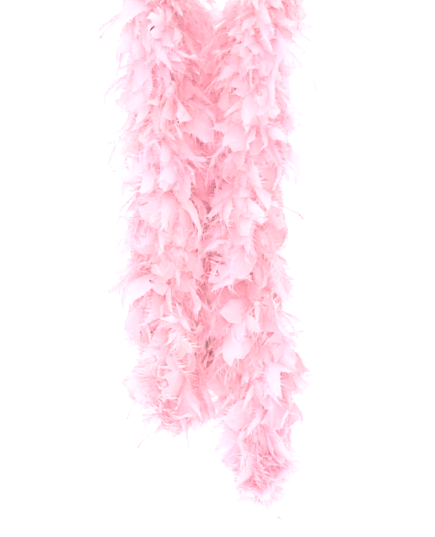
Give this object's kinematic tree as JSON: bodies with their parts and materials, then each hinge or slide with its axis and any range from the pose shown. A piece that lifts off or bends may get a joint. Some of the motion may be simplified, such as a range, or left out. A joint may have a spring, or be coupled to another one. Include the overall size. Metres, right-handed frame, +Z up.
{
  "type": "feather boa",
  "caption": "Feather boa draped round a neck, both tails hanging in front: fluffy dyed feathers lashed with thread round a twisted core cord, whipped and knotted at its ends.",
  "frame": {"origin": "centre of the wearer's neck, at the height where the boa rests on the shoulders", "axes": "+Z up, -Y the wearer's front, +X the viewer's right when facing the wearer"},
  "size_m": [0.2865, 0.3036, 0.8769],
  "materials": {
    "feathers": "soft matte, dyed pale pink, with paler tips and quills",
    "twine": "matte two-ply twisted cotton, dyed pink",
    "thread": "fine spun thread, slight sheen"
  },
  "bodies": {
    "neck_loop": {"core_cord_neck_loop": "twine", "binding_thread_neck_loop": "thread", "feather_tuft_neck_1": "feathers", "feather_tuft_neck_2": "feathers", "feather_tuft_neck_3": "feathers", "feather_tuft_neck_4": "feathers", "feather_tuft_neck_5": "feathers", "feather_tuft_neck_6": "feathers", "feather_tuft_neck_7": "feathers", "feather_tuft_neck_8": "feathers", "feather_tuft_neck_9": "feathers", "feather_tuft_neck_10": "feathers", "feather_tuft_neck_11": "feathers", "feather_tuft_neck_12": "feathers", "feather_tuft_neck_13": "feathers"},
    "left_upper": {"core_cord_left_upper": "twine", "binding_thread_left_upper": "thread", "feather_tuft_left_2": "feathers", "feather_tuft_left_1": "feathers"},
    "left_middle": {"core_cord_left_middle": "twine", "binding_thread_left_middle": "thread", "feather_tuft_left_4": "feathers", "feather_tuft_left_3": "feathers"},
    "left_lower": {"core_cord_left_lower": "twine", "binding_thread_left_lower": "thread", "feather_tuft_left_6": "feathers", "feather_tuft_left_5": "feathers", "end_whipping_left": "thread", "end_knot_left": "twine"},
    "right_upper": {"core_cord_right_upper": "twine", "binding_thread_right_upper": "thread", "feather_tuft_right_1": "feathers", "feather_tuft_right_2": "feathers"},
    "right_middle": {"core_cord_right_middle": "twine", "binding_thread_right_middle": "thread", "feather_tuft_right_3": "feathers", "feather_tuft_right_4": "feathers"},
    "right_lower": {"core_cord_right_lower": "twine", "binding_thread_right_lower": "thread", "feather_tuft_right_5": "feathers", "feather_tuft_right_6": "feathers", "feather_tuft_right_7": "feathers", "end_whipping_right": "thread", "end_knot_right": "twine"}
  },
  "joints": [
    {"name": "left_collar_swing", "type": "hinge", "parent": "neck_loop", "child": "left_upper", "pos_m": [-0.0629, -0.1119, -0.256], "axis": [-1, 0, 0], "range_deg": [-15, 30]},
    {"name": "left_waist_sway", "type": "hinge", "parent": "left_upper", "child": "left_middle", "pos_m": [-0.0562, -0.112, -0.3926], "axis": [0, 1, 0], "range_deg": [0, 30]},
    {"name": "left_hem_swing", "type": "hinge", "parent": "left_middle", "child": "left_lower", "pos_m": [-0.0495, -0.112, -0.5296], "axis": [-1, 0, 0], "range_deg": [-20, 30]},
    {"name": "right_collar_swing", "type": "hinge", "parent": "neck_loop", "child": "right_upper", "pos_m": [0.0649, -0.1122, -0.2839], "axis": [-1, 0, 0], "range_deg": [-15, 30]},
    {"name": "right_waist_sway", "type": "hinge", "parent": "right_upper", "child": "right_middle", "pos_m": [0.0553, -0.112, -0.4208], "axis": [0, -1, 0], "range_deg": [0, 30]},
    {"name": "right_hem_swing", "type": "hinge", "parent": "right_middle", "child": "right_lower", "pos_m": [0.0451, -0.112, -0.5575], "axis": [-1, 0, 0], "range_deg": [-20, 30]}
  ]
}
